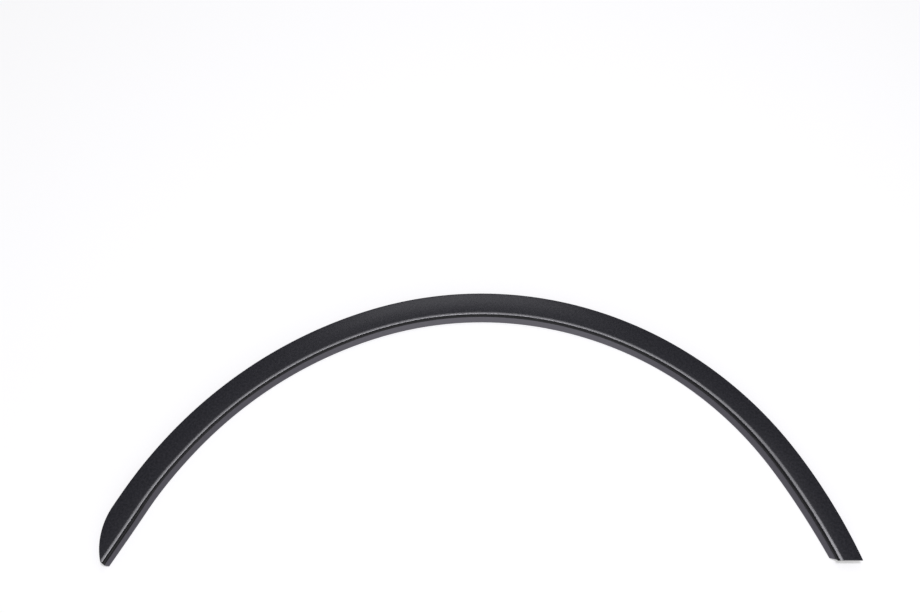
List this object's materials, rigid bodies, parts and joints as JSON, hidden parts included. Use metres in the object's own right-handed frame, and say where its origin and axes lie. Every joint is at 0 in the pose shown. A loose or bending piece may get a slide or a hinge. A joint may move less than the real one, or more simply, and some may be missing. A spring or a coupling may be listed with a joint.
{
  "type": "wheel arch trim",
  "caption": "Curved matte black strip that covers the edge of a car's wheel opening, with a return flange, a tapered end and a flat-cut end.",
  "frame": {"origin": "middle of the box round the trim, on the plane that the flange's free edge lies on", "axes": "+Z out of the face, +X towards the flat-cut end, +Y towards the crown of the arch"},
  "size_m": [0.7645, 0.3037, 0.012],
  "materials": {
    "trim": "fine moulded grain, matte"
  },
  "bodies": {
    "root": {"arch_trim": "trim"}
  },
  "joints": []
}
